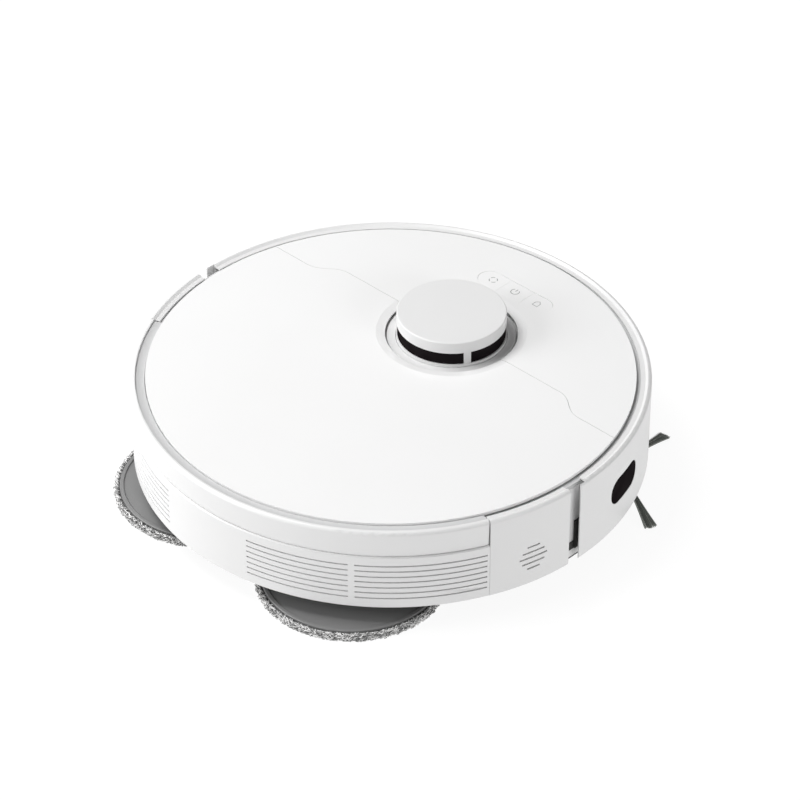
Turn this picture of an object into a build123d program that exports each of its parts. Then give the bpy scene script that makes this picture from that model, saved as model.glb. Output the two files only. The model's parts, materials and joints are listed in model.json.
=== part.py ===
"""Robot vacuum and mop, in millimetres.

+X points forwards to the bumper, +Y to the machine's left, +Z up. The origin is on the floor under
the middle of the round body, so the wheels and mop pads rest at z = 0.
"""

import os
from math import cos, radians, sin

from build123d import *

# ---- Driving dimensions --------------------------------------------------------------------------

# Round body
body_r = 175.0
top_z = 79.0
skirt_z = 17.5
wall = 2.5
edge_round = 2.4
edge_chamfer = 0.7

# Angles round the body, measured from straight ahead towards the left
bumper_half_angle = 91.5
panel_start_angle = 94.6
panel_end_angle = 114.6
skirt_start_angle = 114.66
band_start_angle = 114.9

# Chassis base
base_low = 13.0
base_top = 16.0
base_r = 169.0
rim_r = 173.4

# Ring frame, trim ring and deck
frame_in_r = 166.2
frame_out_r = 168.9
deck_low = 71.5
deck_top = 73.5
deck_r = 166.0
trim_top = 77.4
trim_flange_top = 76.0
trim_seat_r = 165.1
trim_in_r = 163.2
trim_narrow_r = 168.6
trim_wide_r = 171.3

# Covers and the seam between them
cover_low = 76.8
cover_r = 164.6
seam_x = 59.2
seam_x_outer = 46.7
seam_bend_start = 98.0
seam_bend_end = 127.0
seam_gap = 0.35
seam_undercut = 0.35
seam_undercut_top = 78.0

# Bumper
bumper_travel = 2.5
bumper_lip_r = 167.5
bumper_lip_low = 76.5
bumper_end_wall = 0.9
bumper_end_angle = 2.0
window_r = 174.8
window_z = 47.7
window_height = 20.2
window_corner_r = 9.2
side_window_angle = -74.4
side_window_width = 37.0
front_window_width = 64.0

# Lid hinge
hinge_x = 75.2
hinge_z = 73.6
hinge_y = 60.0
hinge_pin_r = 1.2
arm_width = 8.0
arm_drop = 17.5
arm_reach = 31.0
arm_thick = 3.5

# Lidar tower
lds_x = 59.2
lds_opening_r = 45.3
lds_dish_r = 51.5
lds_cap_r = 37.5
lds_cap_wall = 3.0
lds_ring_r = 38.0
lds_cap_top = 95.8
lds_window_low = 78.3
lds_window_high = 87.3
lds_pillar_width = 5.0
turret_r = 33.4
turret_groove_r = 31.0
tub_r = 42.5
belt_low = 66.9
belt_high = 69.1
pulley_r = 4.0
pulley_distance = 50.0
pulley_angle = 150.0

# Buttons
button_x = 123.2
button_row_length = 64.0
button_row_width = 17.0
button_split_y = 10.6
button_gap = 0.08
button_clearance = 0.15
button_top = 78.85

# Drive wheels
wheel_r = 34.0
wheel_in_y = 112.0
wheel_out_y = 134.0
tyre_in_r = 29.0
tread_count = 30
axle_r = 4.0
pivot_x = 42.0
pivot_z = 38.0
pivot_r = 3.0
arm_in_y = 102.5
arm_out_y = 110.5
well_low = (-46.0, 101.5)
well_high = (52.0, 135.5)
well_top = 69.5

# Front caster
caster_x = 132.0
caster_offset = 8.0
caster_wheel_r = 14.0
caster_half_width = 7.0
caster_well_r = 25.0
caster_pin_r = 4.0

# Main brush
brush_x = 5.0
brush_z = 21.0
brush_core_r = 9.0
brush_sleeve_r = 10.5
brush_fin_r = 20.0
brush_half_length = 82.0
brush_stub_r = 3.0
tunnel_r = 23.0
tunnel_half_length = 84.0
fin_count = 6
fin_thick = 2.4
fin_twist = 40.0
fin_steps = 4

# Side brush
side_brush_x = 92.0
side_brush_y = -124.0
side_hub_r = 13.0
side_shaft_r = 2.5
tuft_reach = 59.4
tuft_angles = (6.0, 125.0, 244.5)
tuft_root_z = 8.5
tuft_tip_z = 2.4

# Mops
mop_x = -107.0
mop_y = 68.0
mop_pad_r = 64.5
mop_pad_top = 3.8
mop_plate_r = 60.0
mop_plate_top = 5.4
mop_lip_top = 6.2
mop_shaft_r = 6.0

# Inner boxes, as lower and upper corners
battery_box = ((36.0, -72.0, 17.0), (100.0, 72.0, 37.0))
board_box = ((34.0, -80.0, 40.0), (102.0, 80.0, 41.6))
bin_box = ((-86.0, -84.0, 31.0), (-26.0, 84.0, 68.0))
bin_wall = 2.0
gearbox_box = ((-124.0, -82.0, 17.0), (-90.0, 82.0, 31.0))
tank_box = ((-162.0, -130.0, 31.0), (-90.0, 14.0, 68.0))
tank_r = 162.0
fan_x = -122.0
fan_y = 50.0
fan_r = 30.0

# Clearances
running_gap = 0.05
loose_gap = 0.3

os.makedirs("parts", exist_ok=True)

# ---- Helpers -------------------------------------------------------------------------------------


def block(low, high, mode=Mode.ADD):
    """Adds a box between two opposite corners."""
    size = [top - bottom for bottom, top in zip(low, high)]
    middle = tuple((bottom + top) / 2 for bottom, top in zip(low, high))
    with Locations(middle):
        Box(*size, mode=mode)


def post(x, y, radius, z_low, z_high, mode=Mode.ADD):
    """Adds an upright cylinder."""
    with Locations((x, y, (z_low + z_high) / 2)):
        Cylinder(radius, z_high - z_low, mode=mode)


def rod(x, z, radius, y_low, y_high, mode=Mode.ADD):
    """Adds a cylinder that lies along Y."""
    with Locations((x, (y_low + y_high) / 2, z)):
        Cylinder(radius, y_high - y_low, rotation=(90, 0, 0), mode=mode)


def radial_plane(angle, x=0, y=0):
    """Returns the upright plane through (x, y) whose own x axis points outwards at an angle."""
    direction = (cos(radians(angle)), sin(radians(angle)), 0)
    normal = (sin(radians(angle)), -cos(radians(angle)), 0)
    return Plane(origin=(x, y, 0), x_dir=direction, z_dir=normal)


def facing_plane(angle, radius, z):
    """Returns the plane that touches the round body at an angle and faces outwards."""
    direction = (cos(radians(angle)), sin(radians(angle)), 0)
    tangent = (-sin(radians(angle)), cos(radians(angle)), 0)
    origin = (radius * direction[0], radius * direction[1], z)
    return Plane(origin=origin, x_dir=tangent, z_dir=direction)


def turned(section, start=0, end=360, x=0, y=0, mode=Mode.ADD):
    """Adds a turned ring or arc; section lists its corners as (radius, height)."""
    with BuildSketch(radial_plane(start, x, y)) as outline:
        with BuildLine():
            Polyline(*section, close=True)
        make_face()
    revolve(outline.sketch, axis=Axis((x, y, 0), (0, 0, 1)), revolution_arc=end - start, mode=mode)


def tube(radius_in, radius_out, z_low, z_high, start=0, end=360, x=0, y=0, mode=Mode.ADD):
    """Adds a plain round wall, or an arc of one."""
    section = [
        (radius_in, z_low),
        (radius_out, z_low),
        (radius_out, z_high),
        (radius_in, z_high),
    ]
    turned(section, start, end, x, y, mode)


def outer_wall(start, end, foot, head_r, lip):
    """Adds a body wall; foot lists its inner and outer lower corners, lip its corners along the top."""
    section = [*foot, (head_r, top_z), *lip, (foot[0][0], lip[-1][1])]
    with BuildSketch(radial_plane(start)) as outline:
        with BuildLine():
            Polyline(*section, close=True)
        make_face()
        fillet(outline.vertices().sort_by_distance((head_r, top_z))[0], edge_round)
        fillet(outline.vertices().sort_by_distance(foot[1])[0], edge_chamfer)
    revolve(outline.sketch, axis=Axis.Z, revolution_arc=end - start)


def save(builder, name):
    """Labels a finished piece and writes it."""
    builder.part.label = name
    export_step(builder.part, f"parts/{name}.step")


def save_pair(builder, name):
    """Writes a left piece, and its mirror image on the right."""
    save(builder, f"{name}_left")
    with BuildPart() as mirrored:
        mirror(builder.part, about=Plane.XZ)
    save(mirrored, f"{name}_right")


# ---- Chassis base --------------------------------------------------------------------------------

screw_circle_r = 163.6
screw_count = 10
screw_start = 9.0
screw_head_r = 2.6
screw_shank_r = 1.5
cliff_circle_r = 154.0
cliff_angles = (28.0, -28.0, 75.0, -75.0)
cliff_length = 18.0
cliff_width = 7.0
contact_x = 148.0
contact_y = 42.0
contact_size = (8.0, 24.0)
contact_low = 12.5
board_post_x = (38.0, 98.0)
board_post_y = 77.0
board_post_r = 3.0
well_wall = 2.0
tunnel_wall = 2.5

with BuildPart() as chassis_base:
    post(0, 0, base_r, base_low, base_top)
    chamfer(chassis_base.edges().sort_by(Axis.Z)[0], 2)
    # Ledge that the side panels and the rear skirt stand on
    turned(
        [
            (base_r - 2, base_low + 1),
            (base_r, base_low + 1.5),
            (rim_r, skirt_z - 0.5),
            (rim_r, skirt_z),
            (frame_out_r + 0.2, skirt_z),
            (frame_out_r + 0.2, base_top),
            (base_r - 2, base_top),
        ],
        panel_start_angle,
        360 - panel_start_angle,
    )
    # Closed boxes over the drive wheels, open below, with a boss for each arm's pivot
    for side in (1, -1):
        low_y, high_y = sorted((side * (well_low[1] - well_wall), side * (well_high[1] + well_wall)))
        block(
            (well_low[0] - well_wall, low_y, base_top),
            (well_high[0] + well_wall, high_y, deck_low - 0.2),
        )
        boss_low, boss_high = sorted((side * (well_low[1] - 8), side * (well_low[1] - well_wall)))
        rod(pivot_x, pivot_z, pivot_r + 3.5, boss_low, boss_high)
        low_y, high_y = sorted((side * well_low[1], side * well_high[1]))
        block((well_low[0], low_y, base_low), (well_high[0], high_y, well_top), Mode.SUBTRACT)
        bore_low, bore_high = sorted((side * (well_low[1] - 8), side * well_low[1]))
        rod(pivot_x, pivot_z, pivot_r + running_gap, bore_low, bore_high, Mode.SUBTRACT)
    # Arched tunnel over the main brush
    with BuildSketch(Plane.XZ.offset(-tunnel_half_length - tunnel_wall)):
        with Locations((brush_x, brush_z)):
            Circle(tunnel_r + tunnel_wall)
        with Locations((brush_x, base_top - 50)):
            Rectangle(200, 100, mode=Mode.SUBTRACT)
    extrude(amount=2 * (tunnel_half_length + tunnel_wall))
    rod(brush_x, brush_z, tunnel_r, -tunnel_half_length, tunnel_half_length, Mode.SUBTRACT)
    rod(
        brush_x,
        brush_z,
        brush_stub_r + running_gap,
        -tunnel_half_length - tunnel_wall,
        tunnel_half_length + tunnel_wall,
        Mode.SUBTRACT,
    )
    # Suction port from the tunnel to the dust bin
    block((-24, -30, 34), (-8, 30, 42), Mode.SUBTRACT)
    # Round well for the caster, with its swivel boss
    tube(caster_well_r, caster_well_r + 2, base_top, 40, x=caster_x)
    post(caster_x, 0, caster_well_r + 2, 38, 40)
    post(caster_x, 0, caster_pin_r + 4, 40, 47)
    post(caster_x, 0, caster_well_r, base_low, base_top, Mode.SUBTRACT)
    post(caster_x, 0, caster_pin_r + running_gap, 38, 47, Mode.SUBTRACT)
    # Ribs under the dust bin and posts under the circuit board
    for rib_y in (-40, 40):
        block((-84, rib_y - 1.5, base_top), (-28, rib_y + 1.5, bin_box[0][2]))
    for x in board_post_x:
        for y in (-board_post_y, board_post_y):
            post(x, y, board_post_r, base_top, board_box[0][2])
    # Holes for the shafts that come through the floor
    for y in (mop_y, -mop_y):
        post(mop_x, y, mop_shaft_r + running_gap, base_low, base_top, Mode.SUBTRACT)
    post(
        side_brush_x,
        side_brush_y,
        side_shaft_r + running_gap,
        base_low,
        base_top,
        Mode.SUBTRACT,
    )
    # Slots for the floor sensors and charging contacts
    for angle in cliff_angles:
        with BuildSketch(Plane.XY.offset(base_low)):
            with Locations(Location((0, 0, 0), (0, 0, angle))):
                with Locations((cliff_circle_r, 0)):
                    Rectangle(cliff_width, cliff_length)
        extrude(amount=base_top - base_low, mode=Mode.SUBTRACT)
    with Locations((contact_x, contact_y, base_low), (contact_x, -contact_y, base_low)):
        Box(*contact_size, 2 * (base_top - base_low - 1), mode=Mode.SUBTRACT)
    # Counterbored screw holes round the edge
    with PolarLocations(screw_circle_r, screw_count, start_angle=screw_start):
        Cylinder(
            screw_shank_r + 0.1,
            2 * base_top,
            align=(Align.CENTER, Align.CENTER, Align.MIN),
            mode=Mode.SUBTRACT,
        )
        Cylinder(
            screw_head_r + 0.1,
            base_low + 1.5,
            align=(Align.CENTER, Align.CENTER, Align.MIN),
            mode=Mode.SUBTRACT,
        )
save(chassis_base, "chassis_base")

with BuildPart() as base_screws:
    with BuildSketch(Plane.XY.offset(base_low + 0.4)):
        with PolarLocations(screw_circle_r, screw_count, start_angle=screw_start):
            Circle(screw_head_r)
    extrude(amount=1.1)
    with BuildSketch(Plane.XY.offset(base_low + 1.5)):
        with PolarLocations(screw_circle_r, screw_count, start_angle=screw_start):
            Circle(screw_shank_r)
    extrude(amount=6.5)
    # Cross recess in each head
    with BuildSketch(Plane.XY.offset(base_low + 0.4)):
        with PolarLocations(screw_circle_r, screw_count, start_angle=screw_start):
            Rectangle(2.6, 0.6)
            Rectangle(0.6, 2.6)
    extrude(amount=0.7, mode=Mode.SUBTRACT)
save(base_screws, "base_screws")

with BuildPart() as cliff_sensors:
    for angle in cliff_angles:
        with BuildSketch(Plane.XY.offset(base_low + 0.3)):
            with Locations(Location((0, 0, 0), (0, 0, angle))):
                with Locations((cliff_circle_r, 0)):
                    RectangleRounded(cliff_width - 0.4, cliff_length - 0.4, 0.8)
        extrude(amount=8)
save(cliff_sensors, "cliff_sensors")

with BuildPart() as charge_contacts:
    for y in (contact_y, -contact_y):
        with BuildSketch(Plane.XY.offset(contact_low)):
            with Locations((contact_x, y)):
                RectangleRounded(contact_size[0] - 0.4, contact_size[1] - 0.4, 1.5)
        extrude(amount=base_top - 1 - contact_low)
save(charge_contacts, "charge_contacts")

# ---- Body shells ---------------------------------------------------------------------------------

vent_rows = 7
vent_pitch = 4.4
vent_low = 25.0
vent_height = 1.1
vent_groups = ((115.2, 143.55), (144.95, 168.0))
skirt_in_r = 171.9
skirt_top = 59.2
band_low = 59.3
band_low_r = 173.7
band_high_r = 174.7
panel_lip = (
    (172.4, top_z),
    (170.6, top_z - 1.2),
    (bumper_lip_r, top_z - 1.4),
    (bumper_lip_r, bumper_lip_low),
)

with BuildPart() as rear_skirt:
    turned(
        [
            (skirt_in_r, skirt_z),
            (body_r - edge_chamfer, skirt_z),
            (body_r, skirt_z + edge_chamfer),
            (body_r, skirt_top - edge_chamfer),
            (body_r - edge_chamfer, skirt_top),
            (skirt_in_r, skirt_top),
        ],
        skirt_start_angle,
        360 - skirt_start_angle,
    )
    for first, last in vent_groups:
        for start, end in ((first, last), (360 - last, 360 - first)):
            for row in range(vent_rows):
                low = vent_low + row * vent_pitch
                high = low + vent_height
                tube(skirt_in_r - 1, body_r + 1, low, high, start, end, mode=Mode.SUBTRACT)
save(rear_skirt, "rear_skirt")

with BuildPart() as rear_band:
    outer_wall(
        band_start_angle,
        360 - band_start_angle,
        ((body_r - wall, band_low), (band_low_r, band_low)),
        band_high_r,
        ((trim_wide_r + 0.1, top_z), (trim_wide_r + 0.1, deck_top)),
    )
save(rear_band, "rear_band")

with BuildPart() as side_panel_left:
    outer_wall(
        panel_start_angle,
        panel_end_angle,
        ((skirt_in_r, skirt_z), (body_r, skirt_z)),
        body_r,
        panel_lip,
    )
save(side_panel_left, "side_panel_left")

# Five grille slots, longest in the middle, cut through the right panel in front of the speaker
speaker_angle = -104.2
speaker_z = 38.9
grille_pitch = 4.4
grille_half_angles = (1.6, 2.8, 3.5, 2.8, 1.6)
grille_height = 1.3

with BuildPart() as side_panel_right:
    mirror(side_panel_left.part, about=Plane.XZ)
    for row, half_angle in enumerate(grille_half_angles):
        low = speaker_z + (row - 2) * grille_pitch - grille_height / 2
        tube(
            skirt_in_r - 1,
            body_r + 1,
            low,
            low + grille_height,
            speaker_angle - half_angle,
            speaker_angle + half_angle,
            mode=Mode.SUBTRACT,
        )
save(side_panel_right, "side_panel_right")

with BuildPart() as mid_frame:
    tube(frame_in_r, frame_out_r, base_top, deck_top)
    tube(frame_in_r - 4.8, frame_in_r, base_top, base_top + 2)
    with PolarLocations(screw_circle_r, screw_count, start_angle=screw_start):
        Cylinder(screw_shank_r + 0.1, 3 * base_top, mode=Mode.SUBTRACT)
    # Sound hole in front of the speaker
    with BuildSketch(facing_plane(speaker_angle, frame_in_r - 3, speaker_z)):
        Circle(11)
    extrude(amount=8, mode=Mode.SUBTRACT)
    # Exhaust window behind the fan
    tube(frame_in_r - 1, frame_out_r + 1, 40, 60, 150, 162, mode=Mode.SUBTRACT)
save(mid_frame, "mid_frame")

gasket_thick = 0.7
gasket_low = 22.5
gasket_high = 28.5
gasket_seal_top = 45.0
gasket_seal_angle = 89.4
gasket_seal_width = 1.8

with BuildPart() as bumper_gasket:
    tube(frame_out_r, frame_out_r + gasket_thick, gasket_low, gasket_high, -94, 94)
    # Upright seals behind the bumper's two ends
    for start in (gasket_seal_angle, -gasket_seal_angle - gasket_seal_width):
        tube(
            frame_out_r,
            frame_out_r + 2 * gasket_thick,
            gasket_low,
            gasket_seal_top,
            start,
            start + gasket_seal_width,
        )
save(bumper_gasket, "bumper_gasket")

with BuildPart() as trim_ring:
    tube(trim_in_r, trim_narrow_r, deck_top, trim_flange_top)
    rear_arc = (band_start_angle, 360 - band_start_angle)
    tube(trim_narrow_r - 1, trim_wide_r, deck_top, trim_flange_top, *rear_arc)
    tube(trim_seat_r, trim_wide_r, trim_flange_top - 0.5, trim_top, *rear_arc)
save(trim_ring, "trim_ring")

# ---- Bumper --------------------------------------------------------------------------------------


def window_pane(angle, width):
    """Returns one dark sensor window, curved with the bumper's wall."""
    with BuildPart() as pane:
        tube(body_r - wall, window_r, 20, 70, angle - 20, angle + 20)
        with BuildSketch(facing_plane(angle, body_r - 15, window_z)):
            RectangleRounded(
                width - 2 * loose_gap,
                window_height - 2 * loose_gap,
                window_corner_r - loose_gap,
            )
        extrude(amount=25, mode=Mode.INTERSECT)
    return pane.part


windows = ((side_window_angle, side_window_width), (0, front_window_width))

with BuildPart() as bumper:
    outer_wall(
        -bumper_half_angle,
        bumper_half_angle,
        ((body_r - wall, skirt_z), (body_r, skirt_z)),
        body_r,
        panel_lip,
    )
    for angle, width in windows:
        with BuildSketch(facing_plane(angle, body_r - 15, window_z)):
            RectangleRounded(width, window_height, window_corner_r)
        extrude(amount=25, mode=Mode.SUBTRACT)
    # Both ends are cut back to a thin outer skin
    for start in (bumper_half_angle - bumper_end_angle, -bumper_half_angle - 1):
        tube(
            bumper_lip_r - 1,
            body_r - bumper_end_wall,
            skirt_z,
            top_z,
            start,
            start + bumper_end_angle + 1,
            mode=Mode.SUBTRACT,
        )
save(bumper, "bumper")

with BuildPart() as bumper_windows:
    for angle, width in windows:
        add(window_pane(angle, width))
save(bumper_windows, "bumper_windows")

# ---- Top deck and covers -------------------------------------------------------------------------

boss_half_length = 3.5
slot_half_width = arm_width / 2 + 1
boss_width = 4.3
bin_opening_gap = 2.0


def seam_outline(shift):
    """Returns the outline of all that lies in front of the cover seam, moved forwards by shift."""
    near = seam_x + shift
    far = seam_x_outer + shift
    with BuildLine() as outline:
        Line((near, -seam_bend_start), (near, seam_bend_start))
        Spline((near, seam_bend_start), (far, seam_bend_end), tangents=[(0, 1), (0, 1)])
        Line((far, seam_bend_end), (far, body_r))
        Polyline((far, body_r), (body_r, body_r), (body_r, -body_r), (far, -body_r))
        Line((far, -body_r), (far, -seam_bend_end))
        Spline((far, -seam_bend_end), (near, -seam_bend_start), tangents=[(0, 1), (0, 1)])
    return outline.edges()


with BuildPart() as top_deck:
    post(0, 0, deck_r, deck_low, deck_top)
    for side in (1, -1):
        for inner in (hinge_y - slot_half_width - boss_width, hinge_y + slot_half_width):
            low_y, high_y = sorted((side * inner, side * (inner + boss_width)))
            block(
                (hinge_x - boss_half_length, low_y, deck_low - 1.5),
                (hinge_x + boss_half_length, high_y, cover_low - 0.2),
            )
        low_y, high_y = sorted((side * (hinge_y - slot_half_width), side * (hinge_y + slot_half_width)))
        block((36, low_y, deck_low), (hinge_x + 5, high_y, deck_top), Mode.SUBTRACT)
        low_y, high_y = sorted((side * (hinge_y - 8.5), side * (hinge_y + 8.5)))
        rod(hinge_x, hinge_z, hinge_pin_r + running_gap, low_y, high_y, Mode.SUBTRACT)
    # Openings for the lidar tub, the dust bin and the fan's inlet
    post(lds_x, 0, tub_r + 0.5, deck_low, deck_top, Mode.SUBTRACT)
    block(
        (bin_box[0][0] - bin_opening_gap, bin_box[0][1] - bin_opening_gap, deck_low),
        (bin_box[1][0] + bin_opening_gap, bin_box[1][1] + bin_opening_gap, deck_top),
        Mode.SUBTRACT,
    )
save(top_deck, "top_deck")

with BuildPart() as lid_hinge_pins:
    for side in (1, -1):
        low_y, high_y = sorted((side * (hinge_y - 8.5), side * (hinge_y + 8.5)))
        rod(hinge_x, hinge_z, hinge_pin_r, low_y, high_y)
save(lid_hinge_pins, "lid_hinge_pins")

cover_post_spots = ((95, 90), (95, -90), (145, 40), (145, -40), (70, 130), (70, -130))
cover_post_r = 3.0
dish_section = (
    (lds_opening_r - 1, top_z - 1.3),
    (lds_dish_r, top_z + 0.01),
    (lds_dish_r, top_z + 1),
    (lds_opening_r - 1, top_z + 1),
)

with BuildPart() as front_cover:
    with BuildSketch(Plane.XY.offset(cover_low)):
        Circle(cover_r)
        make_face(seam_outline(seam_gap / 2), mode=Mode.INTERSECT)
        with Locations((lds_x, 0)):
            Circle(lds_opening_r, mode=Mode.SUBTRACT)
        with Locations((button_x, 0)):
            SlotOverall(
                button_row_length + 2 * button_clearance,
                button_row_width + 2 * button_clearance,
                rotation=90,
                mode=Mode.SUBTRACT,
            )
    extrude(amount=top_z - cover_low)
    turned(dish_section, x=lds_x, mode=Mode.SUBTRACT)
    for x, y in cover_post_spots:
        post(x, y, cover_post_r, deck_top, cover_low)
save(front_cover, "front_cover")

with BuildPart() as rear_lid:
    with BuildSketch(Plane.XY.offset(cover_low)):
        Circle(cover_r)
        make_face(seam_outline(-seam_gap / 2), mode=Mode.SUBTRACT)
        with Locations((lds_x, 0)):
            Circle(lds_opening_r, mode=Mode.SUBTRACT)
    extrude(amount=top_z - cover_low)
    turned(dish_section, x=lds_x, mode=Mode.SUBTRACT)
    # Undercut that lets the front edge swing up past the front cover
    with BuildSketch(Plane.XY.offset(cover_low)):
        make_face(seam_outline(-seam_gap / 2 - seam_undercut))
    extrude(amount=seam_undercut_top - cover_low, mode=Mode.SUBTRACT)
    # Goosenecks that reach down and forwards to the hinge pins, round the front cover's edge
    for side in (1, -1):
        low_y, high_y = sorted((side * (hinge_y - arm_width / 2), side * (hinge_y + arm_width / 2)))
        bottom_z = hinge_z - arm_drop - arm_thick
        back_x = hinge_x - arm_reach
        rod(hinge_x, hinge_z, 3, low_y, high_y)
        block(
            (hinge_x - arm_thick / 2, low_y, bottom_z),
            (hinge_x + arm_thick / 2, high_y, hinge_z),
        )
        block(
            (back_x, low_y, bottom_z),
            (hinge_x + arm_thick / 2, high_y, bottom_z + arm_thick),
        )
        block((back_x, low_y, bottom_z), (back_x + arm_thick, high_y, cover_low + 0.5))
        rod(hinge_x, hinge_z, hinge_pin_r + running_gap, low_y, high_y, Mode.SUBTRACT)
save(rear_lid, "rear_lid")

# ---- Buttons -------------------------------------------------------------------------------------

button_names = ("home_button", "power_button", "spot_button")
button_limits = (
    (-button_row_length, -button_split_y - button_gap),
    (-button_split_y + button_gap, button_split_y - button_gap),
    (button_split_y + button_gap, button_row_length),
)
button_flange = 1.5

for name, (low_y, high_y) in zip(button_names, button_limits):
    with BuildPart() as button:
        with BuildSketch(Plane.XY.offset(cover_low - loose_gap)):
            with Locations((button_x, 0)):
                SlotOverall(button_row_length, button_row_width, rotation=90)
        extrude(amount=button_top - cover_low + loose_gap)
        fillet(button.edges().group_by(Axis.Z)[-1], button_clearance)
        # Flange that keeps the key under the cover, and the stem that works its switch
        with BuildSketch(Plane.XY.offset(cover_low - loose_gap - 0.9)):
            with Locations((button_x, 0)):
                SlotOverall(
                    button_row_length + 2 * button_flange,
                    button_row_width + 2 * button_flange,
                    rotation=90,
                )
        extrude(amount=0.9)
        block((0, low_y, 0), (body_r, high_y, top_z), Mode.INTERSECT)
        stem_y = 0 if low_y < 0 < high_y else 20.5 * (1 if low_y > 0 else -1)
        post(button_x, stem_y, 2, deck_top + 0.9, cover_low - loose_gap - 0.9)
    save(button, name)

# ---- Lidar tower ---------------------------------------------------------------------------------

pulley_x = lds_x + pulley_distance * cos(radians(pulley_angle))
pulley_y = pulley_distance * sin(radians(pulley_angle))
tub_floor = 62.0
tub_wall = 2.0
spindle_r = 6.0

collar_gap = 0.25
collar_r = 44.1
collar_top = 76.4

with BuildPart() as lds_collar:
    tube(lds_ring_r + collar_gap, collar_r, deck_top, collar_top, x=lds_x)
    chamfer(lds_collar.edges().group_by(Axis.Z)[-1], 0.4)
save(lds_collar, "lds_collar")

with BuildPart() as lds_cap:
    post(lds_x, 0, lds_cap_r, lds_window_high, lds_cap_top)
    fillet(lds_cap.edges().group_by(Axis.Z)[-1], 0.9)
    post(
        lds_x,
        0,
        lds_cap_r - lds_cap_wall,
        lds_window_high,
        lds_cap_top - lds_cap_wall + 0.7,
        Mode.SUBTRACT,
    )
    # Three pillars down to the lower ring
    with BuildSketch(Plane.XY.offset(lds_window_low)):
        with Locations((lds_x, 0)):
            with PolarLocations(lds_cap_r - lds_cap_wall / 2, 3):
                Rectangle(lds_cap_wall - 0.2, lds_pillar_width)
    extrude(amount=lds_window_high - lds_window_low)
    tube(lds_cap_r - lds_cap_wall, lds_ring_r, deck_top + 1.5, lds_window_low, x=lds_x)
save(lds_cap, "lds_cap")

with BuildPart() as lds_turret:
    post(lds_x, 0, turret_r, tub_floor + 3, 76)
    # Sensor head with flat faces for its emitter and receiver
    post(lds_x, 0, turret_r - 1, 76, 90)
    block((lds_x + 27, -30, 77), (lds_x + 40, 30, 91), Mode.SUBTRACT)
    tube(turret_groove_r, turret_r + 1, belt_low - 0.4, belt_high + 0.4, x=lds_x, mode=Mode.SUBTRACT)
    post(lds_x, 0, spindle_r + running_gap, tub_floor + 3, 72, Mode.SUBTRACT)
    # Two round lenses stand proud of the flat face
    for y in (-11, 11):
        with BuildSketch(Plane.YZ.offset(lds_x + 27)):
            with Locations((y, 83)):
                Circle(4.2)
        extrude(amount=1.2)
save(lds_turret, "lds_turret")

with BuildPart() as lds_base:
    with BuildSketch(Plane.XY.offset(tub_floor)):
        with Locations((lds_x, 0)):
            Circle(tub_r)
        with Locations((pulley_x, pulley_y)):
            Circle(13)
    extrude(amount=tub_wall)
    tube(tub_r - tub_wall, tub_r, tub_floor + tub_wall, deck_top, x=lds_x)
    post(lds_x, 0, spindle_r, tub_floor + tub_wall, 70)
    post(pulley_x, pulley_y, 2, tub_floor, tub_floor + tub_wall, Mode.SUBTRACT)
    # Window in the tub's wall for the belt
    with BuildSketch(Plane.XY.offset(belt_low - 1)):
        with Locations(Location((lds_x, 0, 0), (0, 0, pulley_angle))):
            with Locations((tub_r, 0)):
                Rectangle(24, 36)
    extrude(amount=belt_high - belt_low + 2, mode=Mode.SUBTRACT)
save(lds_base, "lds_base")

with BuildPart() as lds_motor:
    post(pulley_x, pulley_y, 10, 47, tub_floor)
    fillet(lds_motor.edges().group_by(Axis.Z)[0], 1.5)
    post(pulley_x, pulley_y, 1 + running_gap, 55, tub_floor, Mode.SUBTRACT)
save(lds_motor, "lds_motor")

with BuildPart() as lds_pulley:
    post(pulley_x, pulley_y, pulley_r, belt_low - 0.4, belt_high + 0.4)
    for low in (belt_low - 1.2, belt_high + 0.4):
        post(pulley_x, pulley_y, pulley_r + 1.5, low, low + 0.8)
    post(pulley_x, pulley_y, 1, 56, belt_low - 1)
save(lds_pulley, "lds_pulley")

belt_gap = 0.35
belt_thick = 1.0

with BuildPart() as lds_belt:
    with BuildSketch(Plane.XY.offset(belt_low)) as belt_outside:
        with Locations((lds_x, 0)):
            Circle(turret_groove_r + belt_gap + belt_thick)
        with Locations((pulley_x, pulley_y)):
            Circle(pulley_r + belt_gap + belt_thick)
        make_hull()
    extrude(amount=belt_high - belt_low)
    with BuildSketch(Plane.XY.offset(belt_low)) as belt_inside:
        with Locations((lds_x, 0)):
            Circle(turret_groove_r + belt_gap)
        with Locations((pulley_x, pulley_y)):
            Circle(pulley_r + belt_gap)
        make_hull()
    extrude(amount=belt_high - belt_low, mode=Mode.SUBTRACT)
save(lds_belt, "lds_belt")

# ---- Electronics ---------------------------------------------------------------------------------

with BuildPart() as main_board:
    block(*board_box)
    # Processor shield, capacitors and connectors on the board
    block((50, -18, board_box[1][2]), (78, 10, board_box[1][2] + 2.5))
    for y in (-60, -48, -36):
        post(44, y, 4, board_box[1][2], board_box[1][2] + 8)
    for y in (30, 46, 62):
        block((88, y - 6, board_box[1][2]), (98, y + 6, board_box[1][2] + 6))
save(main_board, "main_board")

with BuildPart() as battery_pack:
    block(*battery_box)
    fillet(battery_pack.edges().filter_by(Axis.Y), 4)
save(battery_pack, "battery_pack")

with BuildPart() as speaker:
    with BuildSketch(facing_plane(speaker_angle, frame_in_r - 14, speaker_z)):
        Circle(10)
    extrude(amount=8)
    with BuildSketch(facing_plane(speaker_angle, frame_in_r - 6, speaker_z)):
        Circle(14)
    extrude(amount=3)
save(speaker, "speaker")

# ---- Suction path --------------------------------------------------------------------------------

fan_low = gearbox_box[1][2]
fan_top = 68.0
fan_wall = 2.5

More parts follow.
